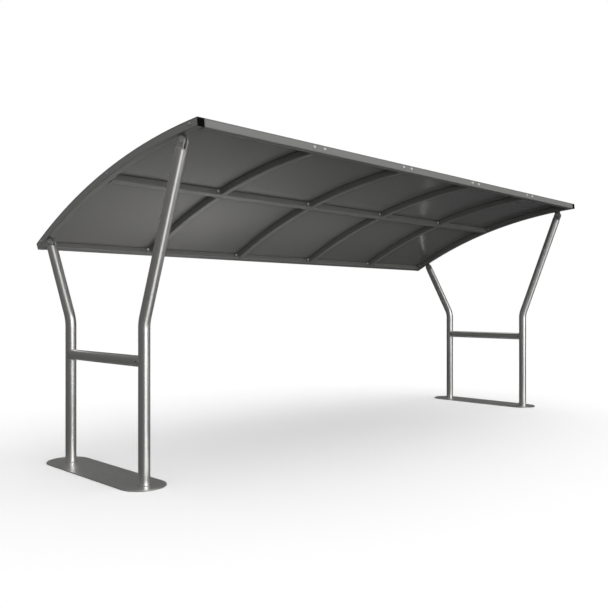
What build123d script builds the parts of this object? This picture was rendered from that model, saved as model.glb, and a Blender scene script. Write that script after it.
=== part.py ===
"""Free-standing bike shelter: a curved sheet roof on two bent-tube end frames.

Millimetres, +Z up, X along the shelter, -Y towards its open front. The origin is on the ground,
under the middle of the roof. Every tube is hollow with its real wall.
"""
import math
import os

from build123d import *

# ---- roof form: one circular arc in the Y-Z plane, its centre far below the shelter ----
roof_length = 5000.0          # over the outer faces of the two end ribs
bay_count = 5
rib_top_radius = 4820.0       # outer face of the ribs, where the sheets lie
front_slope = 3.7             # degrees the roof falls to the rear at its front edge
rear_slope = 29.3             # the same at its rear edge
front_edge_height = 2220.0    # top of the end ribs at the front edge

# ---- square tube of the roof frame ----
tube_side = 50.0
tube_wall = 3.0
tube_corner = 6.0
frame_clearance = 0.4         # straight beams lie this much under the curved sheets
end_plate_thickness = 6.0
end_plate_corner = 5.0
end_plate_setback = 1.0       # edge of an end plate inside the faces of its tube, for the weld
rib_plate_width = 130.0       # plates that close the interior ribs
rib_plate_overlap = 2.0       # the curved tube runs this far into its flat end plates
rib_bolt_spacing = 100.0
beam_plate_reach = 80.0       # plates that close the beams, from the middle line past the bolt
beam_bolt_offset = 53.0       # bolt to the beam's middle line
bolt_line_rise = 4.0          # bolts sit this much above the middle of the tube
frame_bolt_hole = 11.0        # clearance hole for M10

# ---- roof sheets ----
sheet_thickness = 3.0
sheet_gap = 3.0               # expansion gap between sheets, over a rib

# ---- end caps ----
cap_flange = 4.0
cap_side = tube_side - 0.2
cap_corner = tube_corner
cap_edge = 1.0                # chamfer round the outer face
cap_plug_depth = 22.0
cap_plug_wall = 2.0
cap_plug_clearance = 0.4

# ---- posts and crossbars ----
post_diameter = 76.1
post_wall = 3.2
post_spacing = 958.0
post_front_setback = 589.0    # front post axis behind the roof's front edge
bend_height = 1037.0          # where the upright and leaning axes meet
bend_radius = 210.0
front_lean = 20.9             # degrees from upright, towards the front
rear_lean = 28.3              # degrees from upright, towards the rear
crossbar_diameter = 73.0
crossbar_wall = 3.0
crossbar_height = 787.0
vent_hole = 7.0               # drilled through both walls, to let zinc and air out
vent_offset = 42.0            # vent hole to the post axis

# ---- knuckles between posts and end ribs ----
pivot_drop = 43.0             # cross bolt axis below the rib's underside
head_reach = 46.0             # cross bolt axis to the end of the post tube
head_cap = 6.0
ear_thickness = 8.0
ear_radius = 33.0
lug_thickness = 10.0
lug_radius = 29.0
lug_side_clearance = 3.0      # filled by a spacer washer on each side of the lug
spacer_diameter = 26.0
lug_trim = 4.0                # blank left past the rib's underside, cut back to its curve
head_bolt_diameter = 16.0
head_bolt_hole = 17.0
hex_across_flats = 24.0
bolt_head_height = 10.0
nut_height = 13.0
washer_diameter = 30.0
washer_thickness = 3.0
bolt_end_length = 5.0         # thread that stands out of the nut

# ---- base plates ----
plate_length = 1272.0
plate_width = 306.0
plate_thickness = 8.0
plate_edge = 1.0
plate_rearward = 28.0         # plate centre behind the middle of the two posts
anchor_hole = 14.0
anchor_spacing_across = 184.0
anchor_spacing_along = 480.0

# ---- places worked out from the sizes above ----
half_tube = tube_side / 2
end_plate_height = tube_side - 2 * end_plate_setback
rib_mid_radius = rib_top_radius - half_tube
rib_bottom_radius = rib_top_radius - tube_side
beam_mid_radius = rib_mid_radius - frame_clearance
arc_centre_z = front_edge_height - rib_top_radius * math.cos(math.radians(front_slope))
front_reach = rib_bottom_radius * math.sin(math.radians(front_slope))
rear_reach = (rib_top_radius + sheet_thickness) * math.sin(math.radians(rear_slope))
arc_centre_y = -(front_reach + rear_reach) / 2
front_post_y = arc_centre_y + front_reach + post_front_setback
rear_post_y = front_post_y + post_spacing
end_rib_x = roof_length / 2 - half_tube
bay_length = 2 * end_rib_x / bay_count
plate_centre_y = (front_post_y + rear_post_y) / 2 + plate_rearward
roof_axis = Axis((0, arc_centre_y, arc_centre_z), (1, 0, 0))

sides = {"left": -1, "right": 1}
interior_rib_x = [-end_rib_x + bay_length * number for number in range(1, bay_count)]


def turn(length, radius=rib_mid_radius):
    """Degrees along the arc for a length measured on it."""
    return math.degrees(length / radius)


def arc_point(angle, radius):
    """A point of the roof arc in the plane X = 0; the angle opens from the top to the rear."""
    lean = math.radians(angle)
    return Vector(0, arc_centre_y + radius * math.sin(lean), arc_centre_z + radius * math.cos(lean))


def outward(angle):
    """Direction square to the roof, away from the ground."""
    lean = math.radians(angle)
    return Vector(0, math.sin(lean), math.cos(lean))


def rearward(angle):
    """Direction along the roof's fall, to the rear."""
    lean = math.radians(angle)
    return Vector(0, math.cos(lean), -math.sin(lean))


def cut_plane(angle, radius, x=0.0):
    """Plane across a rib: local x along the shelter, local y outward, normal to the front."""
    origin = arc_point(angle, radius) + Vector(x, 0, 0)
    return Plane(origin=origin, x_dir=(1, 0, 0), z_dir=-rearward(angle))


def beam_spot(angle, back, rise=0.0):
    """A point in the plane X = 0 beside a beam's middle line: so far to the rear, so far outward."""
    return arc_point(angle, beam_mid_radius) + rearward(angle) * back + outward(angle) * rise


def beam_face(angle, back, x=0.0):
    """Plane on a beam's long side: local x along the beam, local y inward, normal to the rear."""
    origin = beam_spot(angle, back) + Vector(x, 0, 0)
    return Plane(origin=origin, x_dir=(1, 0, 0), z_dir=rearward(angle))


def export(piece, name):
    piece.part.label = name
    export_step(piece.part, f"parts/{name}.step")


def square_tube_profile(plane):
    """Hollow square section with rounded corners, drawn on the given plane."""
    with BuildSketch(plane) as profile:
        RectangleRounded(tube_side, tube_side, tube_corner)
        inner_side = tube_side - 2 * tube_wall
        RectangleRounded(inner_side, inner_side, tube_corner - tube_wall, mode=Mode.SUBTRACT)
    return profile.sketch


front_beam_angle = front_slope + turn(half_tube)
rear_beam_angle = rear_slope - turn(half_tube)
middle_angle = (front_slope + rear_slope) / 2

# each beam's angle on the arc, and the side of its middle line on which its end bolts sit
beams = {
    "front_beam": (front_beam_angle, 1),
    "middle_purlin": (middle_angle, -1),
    "rear_beam": (rear_beam_angle, -1),
}


# ---- end ribs: square tube rolled to the roof arc, drilled for the beams' bolts ----
def make_end_rib(x):
    first_angle = front_slope + turn(cap_flange)
    last_angle = rear_slope - turn(cap_flange)
    with BuildPart() as rib:
        profile = square_tube_profile(cut_plane(last_angle, rib_mid_radius, x))
        revolve(profile, axis=roof_axis, revolution_arc=last_angle - first_angle)
        with BuildSketch(Plane.YZ.offset(x)):
            for angle, bolt_side in beams.values():
                spot = beam_spot(angle, bolt_side * beam_bolt_offset, bolt_line_rise)
                with Locations((spot.Y, spot.Z)):
                    Circle(frame_bolt_hole / 2)
        extrude(amount=tube_side, both=True, mode=Mode.SUBTRACT)
    return rib


# ---- end caps: moulded flange with a hollow plug that fits inside the rib ----
def make_end_cap(x, angle, inward_sign):
    """inward_sign is 1 where the plug points to the front, -1 where it points to the rear."""
    seat = cut_plane(angle, rib_mid_radius, x)
    plug_side = tube_side - 2 * tube_wall - cap_plug_clearance
    with BuildPart() as cap:
        with BuildSketch(seat):
            RectangleRounded(cap_side, cap_side, cap_corner)
        extrude(amount=-inward_sign * cap_flange)
        outer_face = cap.faces().filter_by(GeomType.PLANE).group_by(
            lambda face: (face.center() - seat.origin).dot(seat.z_dir) * -inward_sign)[-1]
        chamfer(outer_face.edges(), length=cap_edge)
        with BuildSketch(seat):
            RectangleRounded(plug_side, plug_side, tube_corner - tube_wall)
            hollow = plug_side - 2 * cap_plug_wall
            Rectangle(hollow, hollow, mode=Mode.SUBTRACT)
        extrude(amount=inward_sign * cap_plug_depth)
    return cap


# ---- straight beams: square tube with a welded plate at each end ----
def make_beam(angle, bolt_side):
    """The end plates close the tube and reach out on one side, past their bolt."""
    near_edge = half_tube - end_plate_setback
    plate_middle = bolt_side * (beam_plate_reach - near_edge) / 2
    tube_half_length = end_rib_x - half_tube - end_plate_thickness
    with BuildPart() as beam:
        middle = Plane(origin=beam_spot(angle, 0), x_dir=rearward(angle), z_dir=(1, 0, 0))
        extrude(square_tube_profile(middle), amount=tube_half_length, both=True)
        for side in sides.values():
            with BuildSketch(middle.offset(side * tube_half_length)):
                with Locations((plate_middle, 0)):
                    RectangleRounded(beam_plate_reach + near_edge, end_plate_height, end_plate_corner)
                with Locations((bolt_side * beam_bolt_offset, bolt_line_rise)):
                    Circle(frame_bolt_hole / 2, mode=Mode.SUBTRACT)
            extrude(amount=side * end_plate_thickness)
        with BuildSketch(beam_face(angle, 0)):
            for x in interior_rib_x:
                with Locations((x, -bolt_line_rise)):
                    with GridLocations(rib_bolt_spacing, 0, 2, 1):
                        Circle(frame_bolt_hole / 2)
        extrude(amount=tube_side, both=True, mode=Mode.SUBTRACT)
    return beam


# ---- interior ribs: short curved tubes between two beams, with a bolted plate at each end ----
def make_interior_rib(x, front_angle, rear_angle):
    """Runs from the rear face of one beam to the front face of the next."""
    tube_setback = half_tube + end_plate_thickness - rib_plate_overlap
    start = front_angle + turn(tube_setback)
    finish = rear_angle - turn(tube_setback)
    with BuildPart() as rib:
        profile = square_tube_profile(cut_plane(finish, rib_mid_radius, x))
        revolve(profile, axis=roof_axis, revolution_arc=finish - start)
        for angle, offset, direction in ((front_angle, half_tube, 1), (rear_angle, -half_tube, -1)):
            with BuildSketch(beam_face(angle, offset, x)):
                RectangleRounded(rib_plate_width, end_plate_height, end_plate_corner)
                with Locations((0, -bolt_line_rise)):
                    with GridLocations(rib_bolt_spacing, 0, 2, 1):
                        Circle(frame_bolt_hole / 2, mode=Mode.SUBTRACT)
            extrude(amount=direction * end_plate_thickness)
    return rib


# ---- roof sheets: one rolled sheet for each bay, its side edges over the ribs ----
def make_roof_sheet(number):
    left = -roof_length / 2
    right = roof_length / 2
    if number > 0:
        left = interior_rib_x[number - 1] + sheet_gap / 2
    if number < bay_count - 1:
        right = interior_rib_x[number] - sheet_gap / 2
    with BuildPart() as sheet:
        middle = cut_plane(rear_slope, rib_top_radius + sheet_thickness / 2, (left + right) / 2)
        with BuildSketch(middle):
            Rectangle(right - left, sheet_thickness)
        revolve(axis=roof_axis, revolution_arc=rear_slope - front_slope)
    return sheet


# ---- posts: round tube, bent once ----
def leaning_direction(lean):
    """Unit vector up the leaning part; lean is positive to the rear."""
    return Vector(0, math.sin(math.radians(lean)), math.cos(math.radians(lean)))


def pivot_point(post_y, lean):
    """Where the leaning axis crosses the circle of the cross bolts, under the end rib."""
    direction = leaning_direction(lean)
    start = Vector(0, post_y - arc_centre_y, bend_height - arc_centre_z)
    along = start.dot(direction)
    radius = rib_bottom_radius - pivot_drop
    distance = -along + math.sqrt(along ** 2 - start.dot(start) + radius ** 2)
    return Vector(0, post_y, bend_height) + direction * distance


def make_post(x, post_y, lean):
    bottom = Vector(x, post_y, plate_thickness)
    knee = Vector(x, post_y, bend_height)
    top = pivot_point(post_y, lean) - leaning_direction(lean) * head_reach + Vector(x, 0, 0)
    with BuildPart() as post:
        with BuildLine() as path:
            FilletPolyline(bottom, knee, top, radius=bend_radius)
        with BuildSketch(Plane.XY.offset(plate_thickness)):
            with Locations((x, post_y)):
                Circle(post_diameter / 2)
                Circle(post_diameter / 2 - post_wall, mode=Mode.SUBTRACT)
        sweep(path=path.wires()[0])
    return post


# ---- post heads: a cap plate and two round-topped ears, welded together ----
def make_post_head(x, post_y, lean):
    pivot = pivot_point(post_y, lean) + Vector(x, 0, 0)
    up = leaning_direction(lean)
    ear_gap = lug_thickness + 2 * lug_side_clearance
    with BuildPart() as head:
        with BuildSketch(Plane(origin=pivot - up * head_reach, x_dir=(1, 0, 0), z_dir=up)):
            Circle(post_diameter / 2)
        extrude(amount=head_cap)
        for side in sides.values():
            inner = pivot + Vector(side * ear_gap / 2, 0, 0)
            ear_plane = Plane(origin=inner, x_dir=up, z_dir=(side, 0, 0))
            shank = head_reach - head_cap
            with BuildSketch(ear_plane):
                with Locations((-shank / 2, 0)):
                    Rectangle(shank, 2 * ear_radius)
                Circle(ear_radius)
                Circle(head_bolt_hole / 2, mode=Mode.SUBTRACT)
            extrude(amount=ear_thickness)
    return head


# ---- rib lugs: plate welded under the end rib, rounded about the cross bolt ----
def make_rib_lug(x, post_y, lean):
    pivot = pivot_point(post_y, lean)
    fall = math.degrees(math.atan2(pivot.Y - arc_centre_y, pivot.Z - arc_centre_z))
    lug_plane = Plane(origin=pivot + Vector(x, 0, 0), x_dir=rearward(fall), z_dir=(1, 0, 0))
    with BuildPart() as lug:
        with BuildSketch(lug_plane):
            Circle(lug_radius)
            blank_height = pivot_drop + lug_trim
            with Locations((0, blank_height / 2)):
                Rectangle(2 * lug_radius, blank_height)
            with Locations((0, -(rib_bottom_radius - pivot_drop))):
                Circle(rib_bottom_radius, mode=Mode.INTERSECT)
            Circle(head_bolt_hole / 2, mode=Mode.SUBTRACT)
        extrude(amount=lug_thickness / 2, both=True)
    return lug


# ---- cross bolts: hexagon head, washers, shank and nut, with the spacers beside the lug ----
def make_head_bolt(x, post_y, lean, head_side):
    """The head is on the outer side of the shelter, the nut on the inner side."""
    pivot = pivot_point(post_y, lean) + Vector(x, 0, 0)
    half_grip = lug_thickness / 2 + lug_side_clearance + ear_thickness
    up = leaning_direction(lean)
    with BuildPart() as bolt:
        for side, height in ((head_side, bolt_head_height), (-head_side, nut_height)):
            face = Plane(origin=pivot + Vector(side * half_grip, 0, 0), x_dir=up, z_dir=(side, 0, 0))
            with BuildSketch(face):
                Circle(washer_diameter / 2)
            extrude(amount=washer_thickness)
            with BuildSketch(face.offset(washer_thickness)):
                RegularPolygon(hex_across_flats / 2, 6, major_radius=False)
            extrude(amount=height)
            with BuildSketch(face.offset(-ear_thickness - lug_side_clearance)):
                Circle(spacer_diameter / 2)
            extrude(amount=lug_side_clearance)
        shank_start = Plane(origin=pivot + Vector(head_side * half_grip, 0, 0),
                            x_dir=up, z_dir=(-head_side, 0, 0))
        with BuildSketch(shank_start):
            Circle(head_bolt_diameter / 2)
        extrude(amount=2 * half_grip + washer_thickness + nut_height + bolt_end_length)
    return bolt


# ---- crossbars: round tube coped to fit the posts ----
def make_crossbar(x):
    with BuildPart() as bar:
        with BuildSketch(Plane.XZ.offset(-front_post_y)):
            with Locations((x, crossbar_height)):
                Circle(crossbar_diameter / 2)
                Circle(crossbar_diameter / 2 - crossbar_wall, mode=Mode.SUBTRACT)
        extrude(amount=-post_spacing)
        with BuildSketch(Plane.XY.offset(crossbar_height - crossbar_diameter)):
            with Locations((x, front_post_y), (x, rear_post_y)):
                Circle(post_diameter / 2)
        extrude(amount=2 * crossbar_diameter, mode=Mode.SUBTRACT)
        with BuildSketch(Plane.YZ.offset(x)):
            with Locations((front_post_y + vent_offset, crossbar_height),
                           (rear_post_y - vent_offset, crossbar_height)):
                Circle(vent_hole / 2)
        extrude(amount=crossbar_diameter, both=True, mode=Mode.SUBTRACT)
    return bar


# ---- base plates: round-ended plate with anchor holes ----
def make_base_plate(x):
    with BuildPart() as plate:
        with BuildSketch():
            with Locations((x, plate_centre_y)):
                SlotOverall(plate_length, plate_width, rotation=90)
        extrude(amount=plate_thickness)
        chamfer(plate.faces().sort_by(Axis.Z)[-1].edges(), length=plate_edge)
        with Locations((x, plate_centre_y, plate_thickness)):
            with GridLocations(anchor_spacing_across, anchor_spacing_along, 2, 3):
                Hole(anchor_hole / 2, depth=plate_thickness)
    return plate


os.makedirs("parts", exist_ok=True)

for side_name, side in sides.items():
    x = side * end_rib_x
    export(make_end_rib(x), f"end_rib_{side_name}")
    export(make_end_cap(x, front_slope + turn(cap_flange), -1), f"end_cap_{side_name}_front")
    export(make_end_cap(x, rear_slope - turn(cap_flange), 1), f"end_cap_{side_name}_rear")
    export(make_crossbar(x), f"crossbar_{side_name}")
    export(make_base_plate(x), f"base_plate_{side_name}")
    for end_name, post_y, lean in (("front", front_post_y, -front_lean), ("rear", rear_post_y, rear_lean)):
        export(make_post(x, post_y, lean), f"post_{side_name}_{end_name}")
        export(make_post_head(x, post_y, lean), f"post_head_{side_name}_{end_name}")
        export(make_rib_lug(x, post_y, lean), f"rib_lug_{side_name}_{end_name}")
        export(make_head_bolt(x, post_y, lean, side), f"head_bolt_{side_name}_{end_name}")

for beam_name, (angle, bolt_side) in beams.items():
    export(make_beam(angle, bolt_side), beam_name)

for number, x in enumerate(interior_rib_x, start=1):
    export(make_interior_rib(x, front_beam_angle, middle_angle), f"upper_rib_{number}")
    export(make_interior_rib(x, middle_angle, rear_beam_angle), f"lower_rib_{number}")

for number in range(bay_count):
    export(make_roof_sheet(number), f"roof_sheet_{number + 1}")
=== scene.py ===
"""The finish of the bike shelter: steel, paint, moulded caps, bolts, welds, screws and sealant."""
import math

import bpy
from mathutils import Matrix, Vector


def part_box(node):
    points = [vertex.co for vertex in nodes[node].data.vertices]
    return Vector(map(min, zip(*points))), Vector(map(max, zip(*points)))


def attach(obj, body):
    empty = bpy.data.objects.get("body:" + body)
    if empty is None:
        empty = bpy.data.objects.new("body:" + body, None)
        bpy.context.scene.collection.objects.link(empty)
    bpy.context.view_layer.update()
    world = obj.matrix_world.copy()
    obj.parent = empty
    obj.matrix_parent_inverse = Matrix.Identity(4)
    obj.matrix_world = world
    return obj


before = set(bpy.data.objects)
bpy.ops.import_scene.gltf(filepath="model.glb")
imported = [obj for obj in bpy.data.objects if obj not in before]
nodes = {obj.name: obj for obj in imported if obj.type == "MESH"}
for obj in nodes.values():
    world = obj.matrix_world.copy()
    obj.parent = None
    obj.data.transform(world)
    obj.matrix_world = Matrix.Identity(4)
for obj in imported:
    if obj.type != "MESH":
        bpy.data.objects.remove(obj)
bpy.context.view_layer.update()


# ---- base plates ----
# One round-ended steel plate under each end frame, cut from 8 mm plate, its top edge broken.
# Bare steel, ground to a satin finish, so it mirrors the foot of each post.

class Wire:
    """One output of a node. Arithmetic on it adds Math nodes to the same tree."""

    def __init__(self, tree, socket=None):
        self.tree = tree
        self.socket = socket

    def node(self, kind, settings=None, inputs=None, output=0):
        """Adds a node of any kind, its settings first, and returns one of its outputs."""
        made = self.tree.nodes.new(kind)
        for name, value in (settings or {}).items():
            setattr(made, name, value)
        for name, value in (inputs or {}).items():
            values = value if isinstance(value, list) else [value]
            wires = [wire for wire in values if isinstance(wire, Wire)]
            for wire in wires:
                self.tree.links.new(wire.socket, made.inputs[name])
            if not wires:
                made.inputs[name].default_value = value
        return Wire(self.tree, made.outputs[output])

    def other(self, output):
        """Another output of the same node."""
        return Wire(self.tree, self.socket.node.outputs[output])

    def maths(self, operation, first, second=0.0):
        return self.node("ShaderNodeMath", {"operation": operation}, {0: first, 1: second})

    def __add__(self, other):
        return self.maths("ADD", self, other)

    def __mul__(self, other):
        return self.maths("MULTIPLY", self, other)

    def __sub__(self, other):
        return self.maths("SUBTRACT", self, other)

    def __rsub__(self, other):
        return self.maths("SUBTRACT", other, self)

    __radd__ = __add__
    __rmul__ = __mul__


def noise(wire, stretch, detail=2.0):
    """Noise on the piece's own coordinates, in features per metre along each axis."""
    place = wire.node("ShaderNodeTexCoord", output="Object")
    placed = wire.node("ShaderNodeVectorMath", {"operation": "MULTIPLY"}, {0: place, 1: stretch})
    return wire.node("ShaderNodeTexNoise", {"noise_dimensions": "3D"},
                     {"Vector": placed, "Scale": 1.0, "Detail": detail})


def between(wire, low, high):
    """0 below a low value, 1 above a high one, and a straight slope between them."""
    return wire.node("ShaderNodeMapRange", None, {"Value": wire, "From Min": low, "From Max": high})


def new_finish(name, **constants):
    """A material with one Principled shader, its constant values set on the shader's own sockets."""
    material = bpy.data.materials.new(name)
    material.use_nodes = True
    shader = material.node_tree.nodes["Principled BSDF"]
    for socket, value in constants.items():
        shader.inputs[socket.replace("_", " ")].default_value = value
    return material, shader, Wire(material.node_tree)


def feed(shader, socket, wire):
    """Links a value that changes over the surface to one of the shader's sockets."""
    wire.tree.links.new(wire.socket, shader.inputs[socket])


def blend_colours(wire, share, low, high):
    """The low colour where the share is 0, the high one where it is 1. Either may be a wire."""
    low, high = (shade if isinstance(shade, Wire) else (*shade, 1.0) for shade in (low, high))
    return wire.node("ShaderNodeMix", {"data_type": "RGBA"}, {0: share, 6: low, 7: high}, 2)


def relief(wire, height, strength, distance):
    """A surface that rises and falls with a height, by so many metres."""
    return wire.node("ShaderNodeBump", None,
                     {"Strength": strength, "Distance": distance, "Height": height})


def satin_steel(name, grain, dark, light, roughness, metallic=1.0):
    """Ground steel: fine scratches along the grain, faint clouds and a few smudges from handling."""
    material, shader, wire = new_finish(name, Metallic=metallic)
    scratches = noise(wire, grain, 3.0)
    clouds = noise(wire, (3.0, 3.0, 3.0))
    smudges = between(noise(wire, (9.0, 9.0, 9.0), 4.0), 0.58, 0.72)
    ground = blend_colours(wire, scratches * 0.6 + clouds * 0.4, dark, light)
    handled = tuple(shade * 0.9 for shade in dark)
    feed(shader, "Base Color", blend_colours(wire, smudges * 0.5, ground, handled))
    feed(shader, "Roughness", roughness - 0.06 + clouds * 0.05 + scratches * 0.04 + smudges * 0.05)
    feed(shader, "Normal", relief(wire, scratches, 0.05, 0.0005))
    return material


def dress(material, *names):
    """Gives CAD nodes their finish."""
    for name in names:
        for slot in nodes[name].material_slots:
            slot.material = material


plate_steel = satin_steel("plate_steel", grain=(40.0, 600.0, 600.0), dark=(0.86, 0.852, 0.835),
                          light=(0.94, 0.932, 0.915), roughness=0.36)
dress(plate_steel, "base_plate_left", "base_plate_right")


# ---- posts and crossbars ----
# Round steel tube, the posts bent once on a mandrel, the crossbars coped to fit them.
# Belt-ground round the tube, so the fine scratches run across its length.

ground_tube = {"dark": (0.80, 0.792, 0.775), "light": (0.88, 0.872, 0.855), "roughness": 0.35}
tube_steel = satin_steel("tube_steel", grain=(30.0, 30.0, 700.0), **ground_tube)
crossbar_steel = satin_steel("crossbar_steel", grain=(30.0, 700.0, 30.0), **ground_tube)
for side in ("left", "right"):
    dress(tube_steel, f"post_{side}_front", f"post_{side}_rear")
    dress(crossbar_steel, f"crossbar_{side}")


# ---- weld beads of the end frames ----
# A fillet weld round the foot of each post, and round each end of a crossbar, where it is
# coped to the post. Laid by hand in short overlapping pools, and brushed but not ground flush.

def new_tree(name, sizes):
    """A geometry tree with a mesh input, named sizes, a material and a mesh output."""
    tree = bpy.data.node_groups.new(name, "GeometryNodeTree")
    sockets = {"Mesh": "NodeSocketGeometry", **dict.fromkeys(sizes, "NodeSocketFloat"),
               "Finish": "NodeSocketMaterial"}
    for label, kind in sockets.items():
        tree.interface.new_socket(label, in_out="INPUT", socket_type=kind)
    tree.interface.new_socket("Mesh", in_out="OUTPUT", socket_type="NodeSocketGeometry")
    entry = tree.nodes.new("NodeGroupInput")
    return tree, {label: Wire(tree, entry.outputs[label]) for label in sockets}


def close_tree(tree, shape, finish):
    """Ends a geometry tree in real geometry with its material."""
    real = shape.node("GeometryNodeRealizeInstances", None, {0: shape})
    dressed = shape.node("GeometryNodeSetMaterial", None, {"Geometry": real, "Material": finish})
    leave = tree.nodes.new("NodeGroupOutput")
    tree.links.new(dressed.socket, leave.inputs["Mesh"])


def grown(name, mesh, tree, finish, slot, **sizes):
    """Runs a geometry tree on a mesh of points or lines, and keeps the result as a plain piece."""
    piece = bpy.data.objects.new(name, mesh)
    bpy.context.scene.collection.objects.link(piece)
    modifier = piece.modifiers.new("grown", "NODES")
    modifier.node_group = tree
    chosen = {label.replace("_", " ").capitalize(): value for label, value in sizes.items()}
    chosen["Finish"] = finish
    for item in tree.interface.items_tree:
        if item.in_out == "INPUT" and item.name in chosen:
            modifier[item.identifier] = chosen[item.name]
    evaluated = piece.evaluated_get(bpy.context.evaluated_depsgraph_get())
    solid = bpy.data.meshes.new_from_object(evaluated)
    piece.modifiers.clear()
    piece.data = solid
    solid.shade_smooth()
    solid.set_sharp_from_angle(angle=math.radians(35))
    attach(piece, "root")
    return piece


def bead_tree():
    """A weld or sealant bead along lines: a round section that swells and narrows as it goes."""
    tree, given = new_tree("bead", ("Bead radius", "Pool length", "Ripple"))
    wire = given["Mesh"]
    line = wire.node("GeometryNodeMeshToCurve", None, {"Mesh": wire})
    step = given["Pool length"] * 0.25
    even = wire.node("GeometryNodeResampleCurve", {"mode": "LENGTH"}, {"Curve": line, "Length": step})
    along = wire.node("GeometryNodeSplineParameter", output="Length")
    pools = along.maths("DIVIDE", along, given["Pool length"])
    swell = wire.maths("ABSOLUTE", wire.maths("SINE", pools * math.pi))
    width = given["Bead radius"] * (1.0 - given["Ripple"] * (1.0 - swell))
    section = wire.node("GeometryNodeCurvePrimitiveCircle", None, {"Resolution": 8, "Radius": 1.0})
    bead = wire.node("GeometryNodeCurveToMesh", None,
                     {"Curve": even, "Profile Curve": section, "Scale": width, "Fill Caps": True})
    close_tree(tree, bead, given["Finish"])
    return tree


def lines(name, paths, closed=True):
    """A mesh of lines through points, each of them closed on itself or open."""
    points = []
    edges = []
    for path in paths:
        first = len(points)
        points += path
        edges += [(number, number + 1) for number in range(first, len(points) - 1)]
        if closed:
            edges.append((len(points) - 1, first))
    mesh = bpy.data.meshes.new(name)
    mesh.from_pydata(points, edges, [])
    return mesh


def ring(centre, across, along, radius, count=48):
    """Points of a circle about a centre, in the plane of two directions."""
    turns = [2 * math.pi * number / count for number in range(count)]
    return [centre + across * (radius * math.cos(turn)) + along * (radius * math.sin(turn))
            for turn in turns]


bead = bead_tree()
X_AXIS = Vector((1, 0, 0))
Y_AXIS = Vector((0, 1, 0))
Z_AXIS = Vector((0, 0, 1))
END_FRAMES = [("left", -1), ("right", 1)]
POST_ENDS = [("front", 1), ("rear", -1)]             # and the way from that post into the frame
bead_lift = 0.001                                    # from the steel to the middle of a bead
plate_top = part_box("base_plate_left")[1][2]
post_low, post_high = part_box("post_left_front")
post_radius = (post_high[0] - post_low[0]) / 2
frame_x = abs(post_high[0] + post_low[0]) / 2        # from the middle of the shelter to an end frame
post_y = {"front": post_high[1] - post_radius,
          "rear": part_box("post_left_rear")[0][1] + post_radius}
bar_low, bar_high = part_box("crossbar_left")
bar_radius = (bar_high[0] - bar_low[0]) / 2
bar_z = (bar_high[2] + bar_low[2]) / 2


def saddle(x, end_y, inward):
    """The line where a crossbar meets a post: a circle pushed along the bar onto the round post."""
    points = []
    for point in ring(Vector((x, end_y, bar_z)), X_AXIS, Z_AXIS, bar_radius + bead_lift, 64):
        reach = math.sqrt(max(post_radius ** 2 - (point.x - x) ** 2, 0.0))
        points.append(point + Y_AXIS * (inward * (reach + bead_lift)))
    return points


weld_steel = satin_steel("weld_steel", grain=(200.0, 200.0, 200.0), dark=(0.42, 0.414, 0.402),
                         light=(0.56, 0.553, 0.54), roughness=0.5)
foot_rings = []
saddles = []
for side, sign in END_FRAMES:
    x = sign * frame_x
    for end, inward in POST_ENDS:
        foot = Vector((x, post_y[end], plate_top + bead_lift))
        foot_rings.append(ring(foot, X_AXIS, Y_AXIS, post_radius + bead_lift))
        saddles.append(saddle(x, post_y[end], inward))
grown("post_foot_welds", lines("foot_lines", foot_rings), bead, weld_steel, "post_steel",
      bead_radius=0.0022, pool_length=0.004, ripple=0.3)
grown("crossbar_welds", lines("saddle_lines", saddles), bead, weld_steel, "post_steel",
      bead_radius=0.0026, pool_length=0.0045, ripple=0.3)


# ---- crossbar plugs ----
# The crossbars have a vent hole through both walls close to each post, for the weld's hot air.
# A moulded black rubber plug closes each hole, its thin flange pulled down on the round bar.

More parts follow.
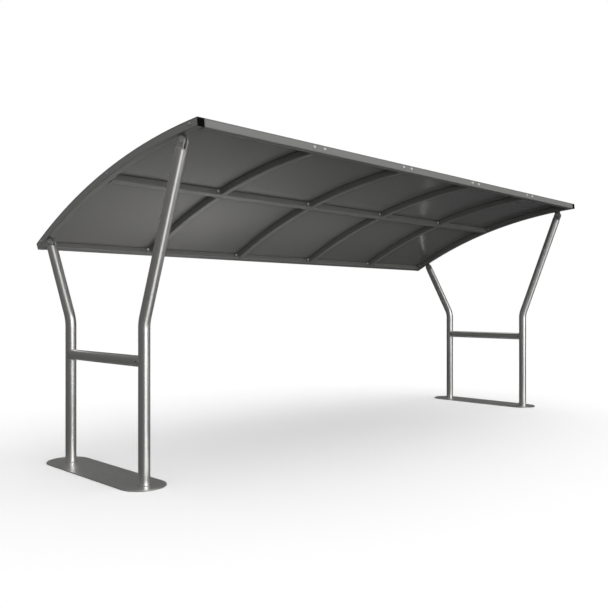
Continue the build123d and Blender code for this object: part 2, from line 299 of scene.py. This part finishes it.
def fastener_tree():
    """A washer, a head or nut and a stud end on every point, turned by chance about its own axis."""
    tree, given = new_tree("fastener", ("Washer radius", "Washer height", "Head sides", "Head radius",
                                        "Head height", "Stud radius", "Stud height"))
    wire = given["Mesh"]
    straight = 0.75                                  # share of a height below the bevel

    def turned(sides, radius, foot, height, taper):
        """A closed disc or prism that stands on a height, its top edge bevelled."""
        body = wire.node("GeometryNodeMeshCylinder", {"fill_type": "NGON"},
                         {"Vertices": sides, "Radius": radius, "Depth": height * straight})
        lift = wire.node("ShaderNodeCombineXYZ", None, {"Z": height * (straight / 2) + foot})
        raised = wire.node("GeometryNodeTransform", None, {"Geometry": body, "Translation": lift})
        top = wire.node("GeometryNodeExtrudeMesh", {"mode": "FACES"},
                        {"Mesh": raised, "Selection": body.other("Top"),
                         "Offset Scale": height * (1 - straight), "Individual": False})
        return wire.node("GeometryNodeScaleElements", {"domain": "FACE"},
                         {"Geometry": top, "Selection": top.other("Top"), "Scale": taper})

    washer_top = given["Washer height"]
    head_top = washer_top + given["Head height"]
    washer = turned(24, given["Washer radius"], 0.0, given["Washer height"], 0.95)
    head = turned(given["Head sides"], given["Head radius"], washer_top, given["Head height"], 0.86)
    stud = turned(12, given["Stud radius"], head_top, given["Stud height"], 0.8)
    ended = wire.node("GeometryNodeSwitch", {"input_type": "GEOMETRY"},
                      {"Switch": given["Stud height"], "True": stud})
    whole = wire.node("GeometryNodeJoinGeometry", None, {0: [washer, head, ended]})
    facing = wire.node("GeometryNodeInputNamedAttribute", {"data_type": "FLOAT_VECTOR"},
                       {"Name": "facing"})
    upright = wire.node("FunctionNodeAlignRotationToVector", {"axis": "Z"}, {"Vector": facing})
    angle = wire.node("FunctionNodeRandomValue", {"data_type": "FLOAT"},
                      {2: 0.0, 3: 2 * math.pi, "Seed": 11}, 1)
    turn = wire.node("FunctionNodeAxisAngleToRotation", None, {"Axis": (0.0, 0.0, 1.0), "Angle": angle})
    spun = wire.node("FunctionNodeRotateRotation", {"rotation_space": "LOCAL"}, {0: upright, 1: turn})
    placed = wire.node("GeometryNodeInstanceOnPoints", None,
                       {"Points": wire, "Instance": whole, "Rotation": spun})
    close_tree(tree, placed, given["Finish"])
    return tree


def spots(name, places):
    """A mesh of points, each facing a given way."""
    mesh = bpy.data.meshes.new(name)
    mesh.from_pydata([place for place, way in places], [], [])
    facing = mesh.attributes.new("facing", "FLOAT_VECTOR", "POINT")
    for number, (place, way) in enumerate(places):
        facing.data[number].vector = way
    return mesh


fastener = fastener_tree()
plug_rubber, shader, wire = new_finish("plug_rubber", Metallic=0.0, Specular_IOR_Level=0.2)
grain = noise(wire, (700.0, 700.0, 700.0))
feed(shader, "Base Color", blend_colours(wire, grain, (0.008, 0.008, 0.008), (0.016, 0.016, 0.016)))
feed(shader, "Roughness", grain * 0.15 + 0.6)
vent_offset = 0.042                                  # from a vent hole to the post's axis
seat = bar_radius - 0.0003                           # the flange beds down on the round of the bar
plug_places = []
for side, sign in END_FRAMES:
    for end, inward in POST_ENDS:
        hole = Vector((sign * frame_x, post_y[end] + vent_offset * inward, bar_z))
        plug_places += [(hole + way * seat, way) for way in (-X_AXIS, X_AXIS)]
grown("crossbar_plugs", spots("plug_spots", plug_places), fastener, plug_rubber, "end_cap",
      washer_radius=0.0046, washer_height=0.0009, head_sides=16.0, head_radius=0.0032,
      head_height=0.0008, stud_radius=0.002, stud_height=0.0)


# ---- post heads, rib lugs and head bolts ----
# Each head is a cap plate with two ears, welded on the post. A lug under the roof's end rib
# stands between the ears with a spacer at each side, and one M16 bolt goes through all of them.

head_steel = satin_steel("head_steel", grain=(60.0, 300.0, 300.0), dark=(0.46, 0.455, 0.445),
                         light=(0.54, 0.534, 0.523), roughness=0.44, metallic=0.75)
# The lugs' steel is darker than the heads' as painted shade: it stands for the shade in the gap between
# the ears and the end rib.
lug_steel_painted_shade = satin_steel("lug_steel_painted_shade", grain=(60.0, 60.0, 300.0), dark=(0.26, 0.257, 0.251),
                        light=(0.32, 0.317, 0.311), roughness=0.36)
bolt_steel = satin_steel("bolt_steel", grain=(250.0, 250.0, 250.0), dark=(0.44, 0.437, 0.43),
                         light=(0.52, 0.516, 0.508), roughness=0.42, metallic=0.8)
post_leans = {"front": math.radians(-20.9), "rear": math.radians(28.3)}
head_reach = 0.046                                   # from the bolt's axis to the end of the tube
cap_thickness = 0.006
ear_inner = 0.008                                    # from the head's middle plane to an ear
ear_thickness = 0.008
ear_radius = 0.033
CORNERS = [(1, 1), (-1, 1), (-1, -1), (1, -1)]       # once round a rectangle
pivots = {}
head_seams = []
for side, sign in END_FRAMES:
    x = sign * frame_x
    for end, lean in post_leans.items():
        dress(head_steel, f"post_head_{side}_{end}")
        dress(lug_steel_painted_shade, f"rib_lug_{side}_{end}")
        dress(bolt_steel, f"head_bolt_{side}_{end}")
        low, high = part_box(f"head_bolt_{side}_{end}")
        pivot = Vector((x, (low[1] + high[1]) / 2, (low[2] + high[2]) / 2))
        pivots[side, end] = pivot
        up = Vector((0, math.sin(lean), math.cos(lean)))
        across = up.cross(X_AXIS)
        root = pivot - up * (head_reach - cap_thickness)
        for ear in (-1, 1):
            middle = root + X_AXIS * (ear * (ear_inner + ear_thickness / 2))
            head_seams.append([middle + X_AXIS * (ear_thickness / 2 * i) + across * (ear_radius * j)
                               for i, j in CORNERS])
grown("post_head_welds", lines("head_lines", head_seams), bead, head_steel, "post_head",
      bead_radius=0.0015, pool_length=0.0045, ripple=0.25)


# ---- roof frame ----
# Square steel tube: two rolled end ribs, three straight beams and short ribs bolted between them.
# Powder-coated dark grey after welding, with the slight orange peel of such a coat.

def grey_coat(name, dark, light, roughness, peel, shine):
    """Grey factory coat: faint clouds, orange peel, and a thin film of dust where it faces up."""
    material, shader, wire = new_finish(name, Metallic=0.0, Specular_IOR_Level=shine)
    clouds = noise(wire, (1.3, 1.3, 1.3), 3.0)
    grain = noise(wire, (450.0, 450.0, 450.0), 1.0)
    coat = blend_colours(wire, clouds * 0.7 + grain * 0.3, dark, light)
    facing = wire.node("ShaderNodeNewGeometry", output="Normal")
    upward = wire.node("ShaderNodeSeparateXYZ", None, {0: facing}, "Z")
    dust = between(upward, 0.75, 0.98) * between(noise(wire, (5.0, 2.0, 5.0), 4.0), 0.35, 0.75)
    feed(shader, "Base Color", blend_colours(wire, dust * 0.25, coat, (0.30, 0.29, 0.27)))
    feed(shader, "Roughness", roughness - 0.03 + clouds * 0.06 + dust * 0.15)
    feed(shader, "Normal", relief(wire, grain, peel, 0.0004))
    return material


frame_paint = grey_coat("frame_paint", dark=(0.184, 0.182, 0.178), light=(0.200, 0.198, 0.193),
                        roughness=0.40, peel=0.12, shine=0.5)
dress(frame_paint, "end_rib_left", "end_rib_right", "front_beam", "middle_purlin", "rear_beam")
for number in range(1, 5):
    dress(frame_paint, f"upper_rib_{number}", f"lower_rib_{number}")

rib_top = 4.82                                       # radius of the roof, at the top of the ribs
sheet_thickness = 0.003
half_tube = 0.025
end_plate = 0.006                                    # thickness of the plates on the tubes' ends
tube_drop = 0.0004                                   # the straight beams lie this much under the sheets
front_slope = math.radians(3.7)                      # how steeply the roof falls at its front edge
rear_slope = math.radians(29.3)                      # and at its rear edge
roof_top = rib_top + sheet_thickness
middle_line = rib_top - half_tube - tube_drop        # radius of the tubes' middle line
roof_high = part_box("roof_sheet_1")[1]
arc_y = roof_high[1] - roof_top * math.sin(rear_slope)
arc_z = roof_high[2] - roof_top * math.cos(front_slope)
beam_slopes = {"front": front_slope + half_tube / middle_line,
               "middle": (front_slope + rear_slope) / 2,
               "rear": rear_slope - half_tube / middle_line}
half_roof = 2.5                                      # from the middle to the end ribs' outer faces
rib_inner = half_roof - 2 * half_tube                # and to their inner faces
bay = 0.99                                           # from rib to rib
rib_places = [bay * (number - 1.5) for number in range(4)]
plate_face = half_tube + end_plate                   # from a beam's middle to a plate bolted on it


def outward(slope):
    """Straight up from the roof, where it falls by a given slope."""
    return Vector((0, math.sin(slope), math.cos(slope)))


def rearward(slope):
    """Down along the roof to the rear."""
    return Vector((0, math.cos(slope), -math.sin(slope)))


def on_roof(slope, back, rise, x):
    """A point beside the tubes' middle line, where the roof falls by a given slope."""
    middle = Vector((x, arc_y, arc_z)) + outward(slope) * (middle_line + rise)
    return middle + rearward(slope) * back


# ---- welds of the roof frame ----
# End plates are welded to the tubes on the three sides that show, and each lug all round where it
# meets its end rib. They are painted with the frame, so only their shape stands out.

def three_sides(corner=0.006, steps=4):
    """Down one side of a square tube, across below and up the other, as pairs (across, rise)."""
    inner = half_tube - corner
    points = [(-half_tube, inner)]
    for centre, start in ((-inner, math.pi), (inner, 1.5 * math.pi)):
        turns = [start + math.pi / 2 * step / steps for step in range(steps + 1)]
        points += [(centre + corner * math.cos(turn), corner * math.sin(turn) - inner) for turn in turns]
    return points + [(half_tube, inner)]


seam_lift = 0.0005                                   # from a plate to the middle of a bead
frame_seams = []
for side, sign in END_FRAMES:
    x = sign * (rib_inner - end_plate + seam_lift)
    for slope in beam_slopes.values():
        frame_seams.append([on_roof(slope, back, rise, x) for back, rise in three_sides()])
for x in rib_places:
    for beam, face in (("front", 1), ("middle", -1), ("middle", 1), ("rear", -1)):
        back = face * (plate_face + seam_lift)
        frame_seams.append([on_roof(beam_slopes[beam], back, rise, x + across)
                            for across, rise in three_sides()])
lug_half = 0.005                                     # half the lug's thickness
lug_radius = 0.029
lug_seams = []
for pivot in pivots.values():
    slope = math.atan2(pivot.y - arc_y, pivot.z - arc_z)
    under_rib = tube_drop - half_tube - bead_lift
    lug_seams.append([on_roof(slope, lug_radius * j, under_rib, pivot.x + lug_half * i)
                      for i, j in CORNERS])
grown("roof_frame_welds", lines("frame_lines", frame_seams, closed=False), bead, frame_paint,
      "roof_frame", bead_radius=0.0022, pool_length=0.005, ripple=0.2)
grown("lug_welds", lines("lug_lines", lug_seams), bead, frame_paint, "roof_frame",
      bead_radius=0.0028, pool_length=0.005, ripple=0.2)


# ---- bolts of the roof frame ----
# M10 bolts: a zinc-plated pair through each rib's end plates, and a stainless one through each end
# rib into each beam. A washer lies under the head, a nut and some thread show on the other side.

zinc = satin_steel("zinc", grain=(250.0, 250.0, 250.0), dark=(0.84, 0.84, 0.83),
                   light=(0.93, 0.93, 0.92), roughness=0.32, metallic=0.55)
bolt_rise = 0.004                                    # a bolt's axis above the tubes' middle line
end_bolt_back = 0.053                                # and beside a beam's middle, in the end ribs
rib_bolt_side = 0.05                                 # or beside a rib's middle, in the beams
end_heads = []
end_nuts = []
for side, sign in END_FRAMES:
    for beam, toward in (("front", 1), ("middle", -1), ("rear", -1)):
        slope = beam_slopes[beam]
        back = toward * end_bolt_back
        end_heads.append((on_roof(slope, back, bolt_rise, sign * half_roof), X_AXIS * sign))
        end_nuts.append((on_roof(slope, back, bolt_rise, sign * (rib_inner - end_plate)), X_AXIS * -sign))
bolt_faces = {"front": (-half_tube, plate_face), "middle": (-plate_face, plate_face),
              "rear": (half_tube, -plate_face)}      # where the head sits, and where the nut sits
rib_heads = []
rib_nuts = []
for x in (rib + offset for rib in rib_places for offset in (-rib_bolt_side, rib_bolt_side)):
    for beam, (head_face, nut_face) in bolt_faces.items():
        slope = beam_slopes[beam]
        way = rearward(slope) * math.copysign(1.0, head_face)
        rib_heads.append((on_roof(slope, head_face, bolt_rise, x), way))
        rib_nuts.append((on_roof(slope, nut_face, bolt_rise, x), -way))
m10 = {"washer_radius": 0.0105, "washer_height": 0.002, "head_sides": 6.0, "head_radius": 0.0098,
       "stud_radius": 0.005}
m10_head = {"head_height": 0.0064, "stud_height": 0.0}
m10_nut = {"head_height": 0.0084, "stud_height": 0.005}
for name, places, finish, end in (("end_bolt_heads", end_heads, bolt_steel, m10_head),
                                  ("frame_bolt_heads", rib_heads, zinc, m10_head),
                                  ("end_bolt_nuts", end_nuts, bolt_steel, m10_nut),
                                  ("frame_bolt_nuts", rib_nuts, zinc, m10_nut)):
    grown(name, spots(name, places), fastener, finish, "fastener", **m10, **end)


# ---- end caps ----
# Moulded black polyethylene, pushed into the open ends of the end ribs.
# The flange is finely textured by its mould.

cap_plastic, shader, wire = new_finish("cap_plastic", Metallic=0.0, Specular_IOR_Level=0.05)
grain = noise(wire, (900.0, 900.0, 900.0), 2.0)
feed(shader, "Base Color", blend_colours(wire, grain, (0.0012, 0.0012, 0.0013), (0.003, 0.003, 0.0032)))
feed(shader, "Roughness", grain * 0.1 + 0.8)
feed(shader, "Normal", relief(wire, grain, 0.2, 0.0002))
for side in ("left", "right"):
    dress(cap_plastic, f"end_cap_{side}_front", f"end_cap_{side}_rear")


# ---- roof sheets ----
# Five sheets rolled to the roof's curve, a sheet to each bay, with a narrow gap over each rib for
# expansion. Coil-coated in nearly the same grey, smooth and glossy, so they mirror what is bright.

sheet_paint = grey_coat("sheet_paint", dark=(0.172, 0.170, 0.166), light=(0.184, 0.182, 0.178),
                        roughness=0.18, peel=0.01, shine=0.8)
dress(sheet_paint, *[f"roof_sheet_{number}" for number in range(1, 6)])


# ---- sealant ----
# A grey bead in each gap between two sheets, tooled level with them, and one along the front and
# the rear edge, where the round corner of the beam leaves a groove under the sheets.

sealant, shader, wire = new_finish("sealant", Metallic=0.0, Specular_IOR_Level=0.3)
skin = noise(wire, (120.0, 120.0, 120.0), 3.0)
feed(shader, "Base Color", blend_colours(wire, skin, (0.175, 0.173, 0.169), (0.205, 0.203, 0.198)))
feed(shader, "Roughness", skin * 0.2 + 0.5)
feed(shader, "Normal", relief(wire, skin, 0.3, 0.0003))
sheet_top = roof_top - middle_line                   # the sheets' upper side above the middle line
gap_depth = 0.0013                                   # the middle of a gap's bead, under the upper side
gap_steps = 60
fall = rear_slope - front_slope
slopes = [front_slope + fall * step / gap_steps for step in range(gap_steps + 1)]
gap_paths = [[on_roof(slope, 0.0, sheet_top - gap_depth, x) for slope in slopes] for x in rib_places]
grown("sheet_gap_seals", lines("gap_lines", gap_paths, closed=False), bead, sealant, "roof_sheet",
      bead_radius=0.0018, pool_length=0.03, ripple=0.1)
groove = half_tube - 0.0025                          # the beam's rounded upper corner
seal_end = rib_inner - 0.001
edge_paths = [[on_roof(beam_slopes[beam], toward * groove, groove, x) for x in (-seal_end, 0.0, seal_end)]
              for beam, toward in (("front", -1), ("rear", 1))]
grown("edge_seals", lines("edge_lines", edge_paths, closed=False), bead, sealant, "roof_sheet",
      bead_radius=0.0029, pool_length=0.05, ripple=0.06)


# ---- sheet screws ----
# Low self-drilling screws with sealing washers, painted with the sheets. They hold each sheet
# along both its ribs, and along the three beams that cross under it.

row_count = 8                                        # screws along each rib
edge_inset = 0.045                                   # from the front and rear edges to the end screws
gap_inset = 0.0135                                   # from the middle of a gap to the row beside it
end_row = half_roof - half_tube
rows = [-end_row, end_row] + [x + offset for x in rib_places for offset in (-gap_inset, gap_inset)]
inset_slope = edge_inset / roof_top
screw_places = []
for x in rows:
    for step in range(row_count):
        share = step / (row_count - 1)
        slope = front_slope + inset_slope + (fall - 2 * inset_slope) * share
        screw_places.append((on_roof(slope, 0.0, sheet_top, x), outward(slope)))
for number in range(-2, 3):
    for x in (bay * (number - 0.25), bay * number, bay * (number + 0.25)):
        for slope in beam_slopes.values():
            screw_places.append((on_roof(slope, 0.0, sheet_top, x), outward(slope)))
grown("sheet_screws", spots("screw_spots", screw_places), fastener, sheet_paint, "fastener",
      washer_radius=0.0075, washer_height=0.0015, head_sides=16.0, head_radius=0.0048,
      head_height=0.0028, stud_radius=0.004, stud_height=0.0)


# ---- studio ----
# A pale floor, soft light from all round, a broad lamp in front, and low strip lamps that light the
# roof's underside from the right. Dark cards stand at the sides and the back and lie on the floor,
# seen by polished surfaces only: they give the bare steel its dark flanks.

def flat_panel(name, corners, material):
    """A flat piece of the studio, which isn't part of the shelter."""
    mesh = bpy.data.meshes.new(name)
    mesh.from_pydata(corners, [], [tuple(range(len(corners)))])
    mesh.materials.append(material)
    panel = bpy.data.objects.new(name, mesh)
    bpy.context.scene.collection.objects.link(panel)
    return panel


def seen_directly(wire):
    """1 for what the camera, a mirror or glass shows, 0 for light that falls on a surface."""
    paths = [wire.node("ShaderNodeLightPath", output=kind)
             for kind in ("Is Camera Ray", "Is Glossy Ray", "Is Transmission Ray")]
    return wire.maths("MINIMUM", paths[0] + paths[1] + paths[2], 1.0)


WHITE = (1.0, 1.0, 1.0)
BLACK = (0.0, 0.0, 0.0)
floor_paint, shader, wire = new_finish("floor_paint", Roughness=1.0, Specular_IOR_Level=0.0)
place = wire.node("ShaderNodeTexCoord", output="Object")
away = wire.node("ShaderNodeVectorMath", {"operation": "DISTANCE"},
                 {0: place, 1: (-1.3, -0.2, 0.0)}, "Value")
near_grey = (0.5, 0.5, 0.5)                          # what the floor throws back under the left end
far_grey = (0.06, 0.06, 0.06)                        # and from 3 m away
bounce = blend_colours(wire, away * 0.42 - 0.3, near_grey, far_grey)
feed(shader, "Base Color", blend_colours(wire, seen_directly(wire), bounce, WHITE))
floor_reach = 14.0
flat_panel("floor", [(i * floor_reach, j * floor_reach, 0) for i, j in CORNERS], floor_paint)

world = bpy.data.worlds.new("studio")
bpy.context.scene.world = world
world.use_nodes = True
wire = Wire(world.node_tree)
backdrop = world.node_tree.nodes["Background"]
backdrop.inputs["Color"].default_value = (*WHITE, 1.0)
heading = wire.node("ShaderNodeTexCoord", output="Generated")
rightward = wire.node("ShaderNodeSeparateXYZ", None, {0: heading}, "X")
backward = rightward.other("Y")
soft_light = rightward * 0.3 - backward * 0.45 + 1.0    # a little stronger from the right and the front
seen = seen_directly(wire)
feed(backdrop, "Strength", seen + (1.0 - seen) * soft_light)


card_rise = 5.0                                      # how far up a card is palest
card_fade = 0.08                                     # and by how much


def dark_card(name, corners, level):
    """A card that only polished surfaces see, its level a share of white at the foot."""
    grey, shader, wire = new_finish(name, Base_Color=(*BLACK, 1.0), Roughness=1.0,
                                    Specular_IOR_Level=0.0, Emission_Strength=1.0)
    place = wire.node("ShaderNodeTexCoord", output="Object")
    height = wire.node("ShaderNodeSeparateXYZ", None, {0: place}, "Z")
    glow = blend_colours(wire, height * (1 / card_rise), (level,) * 3, (level + card_fade,) * 3)
    feed(shader, "Emission Color", glow)
    card = flat_panel(name, corners, grey)
    card.visible_camera = False
    card.visible_diffuse = False
    card.visible_shadow = False


card_x = 2.72                                        # the side cards' feet, just outside the plates
card_back = 1.3
levels = [0.08, 0.085, 0.085, 0.05, 0.06, 0.12]      # from the left front round to the right front
feet = [(-11.5, -30, -6), (-card_x, -1.2, 0), (-card_x, card_back, 0), (0.2, card_back, 0),
        (card_x, card_back, 0), (card_x, -1.2, 0), (11.5, -30, -6)]
tips = [(-14, -30, 25), (-6, -5, 8), (-6, 5, 8), (0.4, 5, 8), (6, 5, 8), (6, -5, 8), (14, -30, 25)]
for number, level in enumerate(levels):
    corners = [*feet[number:number + 2], *reversed(tips[number:number + 2])]
    dark_card(f"card_{number + 1}", corners, level)
right_edge = [(1.9, -12), (1.9, -0.7), (card_x, -0.7), (card_x, card_back)]
left_edge = [(-x, y) for x, y in reversed(right_edge)]
dark_card("card_under", [(x, y, 0.001) for x, y in left_edge + right_edge], 0.09)


def soft_lamp(name, place, aim, size, brightness):
    """A rectangular lamp at a place, facing another, as bright as so many times white."""
    data = bpy.data.lights.new(name, "AREA")
    data.shape = "RECTANGLE"
    data.size, data.size_y = size
    data.energy = brightness * math.pi * size[0] * size[1]
    lamp = bpy.data.objects.new(name, data)
    lamp.location = place
    lamp.rotation_euler = (Vector(aim) - Vector(place)).to_track_quat("-Z", "Y").to_euler()
    bpy.context.scene.collection.objects.link(lamp)
    return lamp


soft_lamp("front_lamp", (0.0, -32.0, 12.0), (0.0, 0.0, 12.0), (26.0, 36.0), 1.25)
strip_lamps = [(-1.2, 2.0), (0.0, 0.8), (1.0, 0.55), (2.0, 0.3)]    # x, and how bright
for x, brightness in strip_lamps:
    strip = soft_lamp("strip_lamp", (x, 0.3, 0.3), (x - 1.6, -0.05, 1.9), (0.7, 2.2), brightness)
    strip.data.spread = math.radians(90)
    strip.visible_camera = False
    strip.visible_glossy = False

camera = bpy.data.cameras.new("camera")
camera.sensor_width = 36.0
camera.lens = 42.10
camera.clip_end = 300.0
camera_object = bpy.data.objects.new("camera", camera)
camera_object.location = (-4.966, -4.304, 1.1515)
camera_object.rotation_euler = (math.radians(90), 0, math.radians(-45.455))
bpy.context.scene.collection.objects.link(camera_object)
bpy.context.scene.camera = camera_object
bpy.context.scene.view_settings.view_transform = "Standard"
